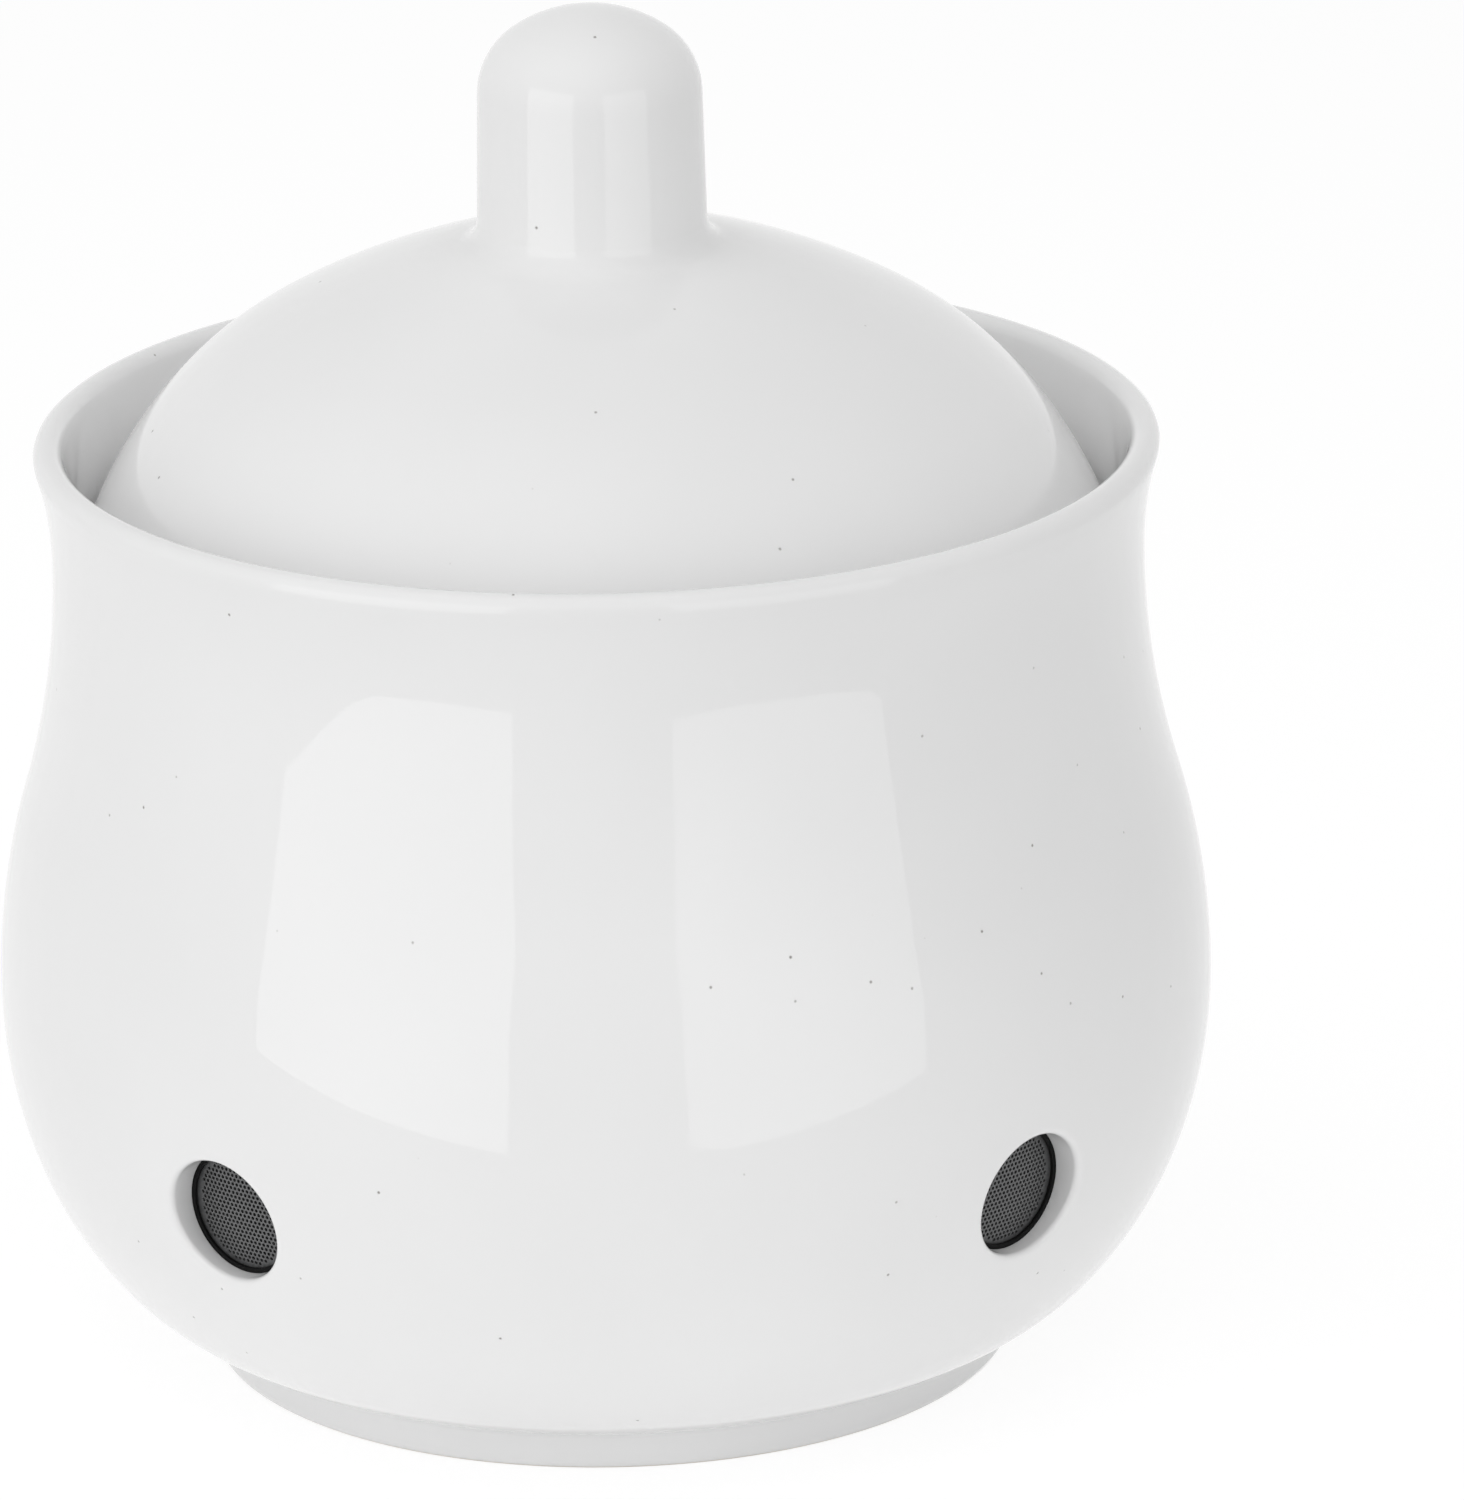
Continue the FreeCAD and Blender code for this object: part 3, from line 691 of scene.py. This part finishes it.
def node(tree, kind, inputs=None, **settings):
    """Adds a node, with its settings and with values or links on its inputs."""
    made = tree.nodes.new(kind)
    for name, value in settings.items():
        setattr(made, name, value)
    for key, value in (inputs or {}).items():
        socket = made.inputs[key]
        if isinstance(value, bpy.types.NodeSocket):
            tree.links.new(value, socket)
        else:
            socket.default_value = value
    return made


FLOAT = "NodeSocketFloat"
COLOR = "NodeSocketColor"
SKIN = {"Color": COLOR, "Roughness": FLOAT, "Height": FLOAT}


def new_group(name, inputs):
    """A node group that gives a skin, with its sockets and its input and output nodes."""
    group = bpy.data.node_groups.new(name, "ShaderNodeTree")
    for direction, sockets in (("INPUT", inputs), ("OUTPUT", SKIN)):
        for label, kind in sockets.items():
            group.interface.new_socket(label, in_out=direction, socket_type=kind)
    return group, group.nodes.new("NodeGroupInput"), group.nodes.new("NodeGroupOutput")


def noise(tree, place, scale, detail):
    made = node(tree, "ShaderNodeTexNoise", {"Vector": place, "Scale": scale, "Detail": detail})
    return made.outputs["Fac"]


def spread(tree, value, given_range, wanted_range):
    """Carries a value from one range over to another."""
    made = node(tree, "ShaderNodeMapRange", {
        "Value": value, "From Min": given_range[0], "From Max": given_range[1],
        "To Min": wanted_range[0], "To Max": wanted_range[1]})
    return made.outputs["Result"]


def scaled_color(tree, color, factor):
    made = node(tree, "ShaderNodeVectorMath", {0: color, "Scale": factor}, operation="SCALE")
    return made.outputs["Vector"]


def mixed_color(tree, factor, first, second):
    """The first colour where the factor is 0, and the second where it is 1."""
    made = node(tree, "ShaderNodeMix", data_type="RGBA",
                inputs={"Factor": factor, "A": first, "B": second})
    return made.outputs["Result"]


def glaze_group():
    """Glaze over clay: drifting tone, a slightly uneven skin, pinholes and a bare foot."""
    group, given, out = new_group("Glaze skin", {
        "Glaze": COLOR, "Clay": COLOR, "Pinhole": COLOR, "Roughness": FLOAT,
        "Pinhole Cells": FLOAT, "Pinhole Size": FLOAT, "Bare Below": FLOAT})
    place = node(group, "ShaderNodeTexCoord").outputs["Object"]
    height = node(group, "ShaderNodeSeparateXYZ", {0: place}).outputs["Z"]
    bare = node(group, "ShaderNodeMath", {0: height, 1: given.outputs["Bare Below"]},
                operation="LESS_THAN").outputs["Value"]

    # colour: a drifting tone, then pinholes, then clay under the foot
    tone = spread(group, noise(group, place, *DRIFT), NOISE_RANGE, TONE_RANGE)
    toned = scaled_color(group, given.outputs["Glaze"], tone)
    cells = node(group, "ShaderNodeTexVoronoi", {
        "Vector": place, "Scale": given.outputs["Pinhole Cells"]})
    pit = node(group, "ShaderNodeMapRange", {
        "Value": cells.outputs["Distance"], "From Min": 0.0, "From Max": given.outputs["Pinhole Size"],
        "To Min": 1.0, "To Max": 0.0}, interpolation_type="SMOOTHSTEP").outputs["Result"]
    pitted = mixed_color(group, pit, toned, given.outputs["Pinhole"])
    covered = mixed_color(group, bare, pitted, given.outputs["Clay"])
    group.links.new(covered, out.inputs["Color"])

    # roughness: the glaze's own in soft patches, and more on the clay
    sheen = spread(group, noise(group, place, *PATCHES), NOISE_RANGE, SHEEN_RANGE)
    polish = node(group, "ShaderNodeMath", {0: given.outputs["Roughness"], 1: sheen},
                  operation="MULTIPLY").outputs["Value"]
    rough = node(group, "ShaderNodeMath", {0: bare, 1: CLAY_ROUGHNESS, 2: polish},
                 operation="MULTIPLY_ADD")
    group.links.new(rough.outputs["Value"], out.inputs["Roughness"])

    # height: a slow ripple, grit on the clay and sunk pinholes
    grit = noise(group, place, *GRIT)
    ripple = noise(group, place, *RIPPLE)
    gritty = node(group, "ShaderNodeMath", {0: grit, 1: bare, 2: ripple}, operation="MULTIPLY_ADD")
    sunk = node(group, "ShaderNodeMath", {0: pit, 1: PINHOLE_HEIGHT, 2: gritty.outputs["Value"]},
                operation="MULTIPLY_ADD")
    group.links.new(sunk.outputs["Value"], out.inputs["Height"])
    return group


def grain_group():
    """Fine grain of moulded rubber and of paint on metal."""
    group, given, out = new_group("Fine grain", {"Color": COLOR, "Roughness": FLOAT, "Grain": FLOAT})
    place = node(group, "ShaderNodeTexCoord").outputs["Object"]
    grain = noise(group, place, given.outputs["Grain"], GRAIN_DETAIL)
    shade = spread(group, grain, NOISE_RANGE, GRAIN_RANGE)
    toned = scaled_color(group, given.outputs["Color"], shade)
    rough = node(group, "ShaderNodeMath", {0: given.outputs["Roughness"], 1: shade},
                 operation="MULTIPLY")
    group.links.new(toned, out.inputs["Color"])
    group.links.new(rough.outputs["Value"], out.inputs["Roughness"])
    group.links.new(grain, out.inputs["Height"])
    return group


def surfaced_material(name, group, inputs, bump_depth, plain):
    """A material whose colour, roughness and bump come from a group, and the rest is plain."""
    material = bpy.data.materials.new(name)
    material.use_nodes = True
    tree = material.node_tree
    tree.nodes.clear()
    skin = node(tree, "ShaderNodeGroup", node_tree=group)
    for key, value in inputs.items():
        skin.inputs[key].default_value = value
    bump = node(tree, "ShaderNodeBump", {"Height": skin.outputs["Height"], "Distance": bump_depth})
    surface = node(tree, "ShaderNodeBsdfPrincipled", {
        "Base Color": skin.outputs["Color"], "Roughness": skin.outputs["Roughness"],
        "Normal": bump.outputs["Normal"], **plain})
    node(tree, "ShaderNodeOutputMaterial", {"Surface": surface.outputs["BSDF"]})
    return material


def opaque(colour_value):
    return (*colour_value, 1.0)


def glaze_material(name, finish, bare_below, cells):
    group = bpy.data.node_groups.get("Glaze skin") or glaze_group()
    return surfaced_material(name, group, {
        "Glaze": opaque(finish.glaze), "Clay": opaque(finish.clay), "Pinhole": opaque(finish.pinhole),
        "Roughness": finish.glaze_roughness, "Pinhole Cells": cells, "Pinhole Size": PINHOLE_SIZE,
        "Bare Below": bare_below,
    }, GLAZE_BUMP, {"IOR": GLAZE_IOR})


def grain_material(name, shade, roughness, grain, plain):
    group = bpy.data.node_groups.get("Fine grain") or grain_group()
    return surfaced_material(name, group, {
        "Color": opaque(shade), "Roughness": roughness, "Grain": grain,
    }, GRAIN_BUMP, plain)


# Studio


def camera_axes(studio):
    """The camera's place and its right, down and forward directions."""
    pan, tilt, roll = studio.pan, studio.tilt, studio.roll
    forward = Vector((math.sin(pan) * math.cos(tilt), math.cos(pan) * math.cos(tilt), -math.sin(tilt)))
    level_right = Vector((math.cos(pan), -math.sin(pan), 0))
    level_down = forward.cross(level_right)
    right = level_right * math.cos(roll) + level_down * math.sin(roll)
    down = level_down * math.cos(roll) - level_right * math.sin(roll)
    return Vector((0, -studio.camera_distance, studio.camera_height)), right, down, forward


def add_camera(studio):
    place, right, down, forward = camera_axes(studio)
    turn = Matrix.Rotation(studio.camera_azimuth, 4, "Z")
    axes = Matrix((right, -down, -forward)).transposed().to_4x4()
    camera = bpy.data.objects.new("camera", bpy.data.cameras.new("camera"))
    camera.data.lens = studio.lens
    camera.data.sensor_width = SENSOR_WIDTH
    camera.data.clip_end = FARTHEST_SEEN
    camera.matrix_world = turn @ Matrix.Translation(place) @ axes
    bpy.context.collection.objects.link(camera)
    bpy.context.scene.camera = camera


def add_softbox(name, azimuth, elevation, distance, width, height, brightness, mirrored=True):
    """A rectangular light that looks at the pot's middle. Azimuth 0 is in front, 90 on the right."""
    target = Vector((0, 0, POT_HIGH.z / 2))
    around, above = math.radians(azimuth), math.radians(elevation)
    level = math.cos(above)
    away = Vector((math.sin(around) * level, -math.cos(around) * level, math.sin(above)))
    light = bpy.data.lights.new(name, "AREA")
    light.shape = "RECTANGLE"
    light.size = width
    light.size_y = height
    light.energy = brightness * math.pi * width * height
    lamp = bpy.data.objects.new(name, light)
    lamp.location = target + away * distance
    lamp.rotation_euler = away.to_track_quat("Z", "Y").to_euler()
    lamp.visible_glossy = mirrored
    bpy.context.collection.objects.link(lamp)


def looking(tree):
    """1 for a ray that the camera or a shiny surface looks along, and 0 for any other."""
    path = node(tree, "ShaderNodeLightPath")
    shiny = node(tree, "ShaderNodeMath", {0: path.outputs["Is Glossy Ray"],
                                          1: path.outputs["Is Transmission Ray"]}, operation="MAXIMUM")
    either = node(tree, "ShaderNodeMath", {0: shiny.outputs["Value"], 1: path.outputs["Is Camera Ray"]},
                  operation="MAXIMUM")
    return either.outputs["Value"]


def white_room(surround):
    """A world that is white where it is seen and reflected, and lights the pot at a plain level."""
    world = bpy.data.worlds.new("white_room")
    bpy.context.scene.world = world
    world.use_nodes = True
    tree = world.node_tree
    tree.nodes.clear()
    light = node(tree, "ShaderNodeBackground", {"Color": (1, 1, 1, 1), "Strength": surround})
    seen = node(tree, "ShaderNodeBackground", {"Color": (1, 1, 1, 1), "Strength": 1.0})
    choice = node(tree, "ShaderNodeMixShader", {0: looking(tree), 1: light.outputs["Background"],
                                                2: seen.outputs["Background"]})
    node(tree, "ShaderNodeOutputWorld", {"Surface": choice.outputs["Shader"]})


def table_material(shade, glow, shadow, level):
    """A lit table that is white where it is seen, and keeps part of the pot's shadow there."""
    material = bpy.data.materials.new("table")
    material.use_nodes = True
    tree = material.node_tree
    tree.nodes.clear()
    matt = node(tree, "ShaderNodeBsdfDiffuse", {"Color": opaque(shade)})
    lit = node(tree, "ShaderNodeEmission", {"Color": (1, 1, 1, 1), "Strength": glow})
    glowing = node(tree, "ShaderNodeAddShader", {0: matt.outputs["BSDF"], 1: lit.outputs["Emission"]})
    rest_of_white = (1 - shadow * level) / (1 - shadow)
    white = node(tree, "ShaderNodeEmission", {"Color": (1, 1, 1, 1), "Strength": rest_of_white})
    lift = node(tree, "ShaderNodeMath", {0: looking(tree), 1: 1 - shadow}, operation="MULTIPLY")
    choice = node(tree, "ShaderNodeMixShader", {0: lift.outputs["Value"], 1: glowing.outputs["Shader"],
                                                2: white.outputs["Emission"]})
    node(tree, "ShaderNodeOutputMaterial", {"Surface": choice.outputs["Shader"]})
    return material


def add_table(finish, studio):
    deselect()
    bpy.ops.mesh.primitive_plane_add(size=1)
    table = bpy.context.object
    table.name = "table"
    bpy.ops.object.mode_set(mode="EDIT")
    bpy.ops.transform.resize(value=(TABLE_WIDTH, TABLE_DEPTH, 1))
    bpy.ops.transform.translate(value=(0, TABLE_SETBACK, 0))
    leave_edit()
    material = table_material(finish.table, studio.table_glow, studio.shadow, studio.table_level)
    table.data.materials.append(material)


# Operators


class KEEPER_OT_pot(Operator):
    """Turns the pot and cuts its four vents"""

    bl_idname = "keeper.pot"
    bl_label = "Pot"

    def execute(self, context):
        scene = context.scene
        sizes, vent = scene.keeper_pot, scene.keeper_vent
        shell = turned_pot(sizes)
        uncut = shell.copy()
        uncut.data = shell.data.copy()
        bpy.context.collection.objects.link(uncut)
        for name in VENTS:
            middle, outward = vent_axis(name, vent.tilt)
            cut_vent(shell, uncut, middle, outward, vent, sizes.wall)
        delete(uncut)
        smooth(shell)
        material = glaze_material("pot_glaze", scene.keeper_finishes, POT_BARE_BELOW,
                                  POT_PINHOLE_CELLS)
        finish_piece(shell, "pot", "pot_glaze", material, "pot")
        return {"FINISHED"}


class KEEPER_OT_lid(Operator):
    """Turns the hollow lid with its knob"""

    bl_idname = "keeper.lid"
    bl_label = "Lid"

    def execute(self, context):
        scene = context.scene
        shell = turned_lid(scene.keeper_pot, scene.keeper_lid)
        smooth(shell)
        material = glaze_material("lid_glaze", scene.keeper_finishes, LID_BARE_BELOW,
                                  LID_PINHOLE_CELLS)
        finish_piece(shell, "lid", "lid_glaze", material, "lid")
        return {"FINISHED"}


class KEEPER_OT_screens(Operator):
    """Perforates one vent screen and seats a copy of it in every vent"""

    bl_idname = "keeper.screens"
    bl_label = "Vent screens"

    def execute(self, context):
        scene = context.scene
        finish = scene.keeper_finishes
        plain = flat_screen(scene.keeper_screen)
        material = grain_material("screen_paint", finish.screen, finish.screen_roughness, SCREEN_GRAIN,
                                  {"Metallic": finish.screen_metal})
        for name in VENTS:
            middle, outward = vent_axis(name, scene.keeper_vent.tilt)
            piece = seat_copy(plain, f"screen_{name}", middle, outward)
            finish_piece(piece, "pot", "vent_screen", material, f"vent_screen_{name}")
        delete(plain)
        return {"FINISHED"}


class KEEPER_OT_seals(Operator):
    """Gives the four moulded seals their rubber"""

    bl_idname = "keeper.seals"
    bl_label = "Vent seals"

    def execute(self, context):
        finish = context.scene.keeper_finishes
        rubber = grain_material("seal_rubber", finish.rubber, finish.rubber_roughness, RUBBER_GRAIN,
                                {"Specular IOR Level": finish.rubber_gloss})
        for name in VENTS:
            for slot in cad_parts[f"vent_seal_{name}"].material_slots:
                slot.material = rubber
        return {"FINISHED"}


class KEEPER_OT_studio(Operator):
    """Sets up the table, the lights and the camera"""

    bl_idname = "keeper.studio"
    bl_label = "Studio"

    def execute(self, context):
        scene = context.scene
        studio = scene.keeper_studio
        scene.view_settings.view_transform = "Standard"
        white_room(studio.surround)
        add_table(scene.keeper_finishes, studio)
        add_softbox("left_box", *LEFT_BOX, studio.left_box)
        add_softbox("right_box", *RIGHT_BOX, studio.right_box)
        for name, direction in FILLS.items():
            add_softbox(name, *direction, *FILL_SPREAD, getattr(studio, name), mirrored=False)
        add_camera(studio)
        return {"FINISHED"}


OPERATORS = (KEEPER_OT_pot, KEEPER_OT_lid, KEEPER_OT_screens, KEEPER_OT_seals, KEEPER_OT_studio)
SETTINGS = {
    "keeper_pot": PotSizes,
    "keeper_lid": LidSizes,
    "keeper_vent": VentSizes,
    "keeper_screen": ScreenSizes,
    "keeper_finishes": Finishes,
    "keeper_studio": StudioSettings,
}


class KEEPER_PT_sidebar(Panel):
    """Lists the keeper's pieces and their settings"""

    bl_idname = "KEEPER_PT_sidebar"
    bl_label = "Garlic Keeper"
    bl_space_type = "VIEW_3D"
    bl_region_type = "UI"
    bl_category = "Keeper"

    def draw(self, context):
        for operator in OPERATORS:
            self.layout.operator(operator.bl_idname)
        for name in SETTINGS:
            group = getattr(context.scene, name)
            box = self.layout.box()
            for setting in group.__annotations__:
                box.prop(group, setting)


def register():
    for name, group in SETTINGS.items():
        bpy.utils.register_class(group)
        setattr(bpy.types.Scene, name, PointerProperty(type=group))
    for part in (*OPERATORS, KEEPER_PT_sidebar):
        bpy.utils.register_class(part)


def unregister():
    for part in reversed((*OPERATORS, KEEPER_PT_sidebar)):
        bpy.utils.unregister_class(part)
    for name, group in SETTINGS.items():
        delattr(bpy.types.Scene, name)
        bpy.utils.unregister_class(group)


def main():
    register()
    bpy.ops.keeper.pot()
    bpy.ops.keeper.lid()
    bpy.ops.keeper.screens()
    bpy.ops.keeper.seals()
    bpy.ops.keeper.studio()


if __name__ == "__main__":
    main()
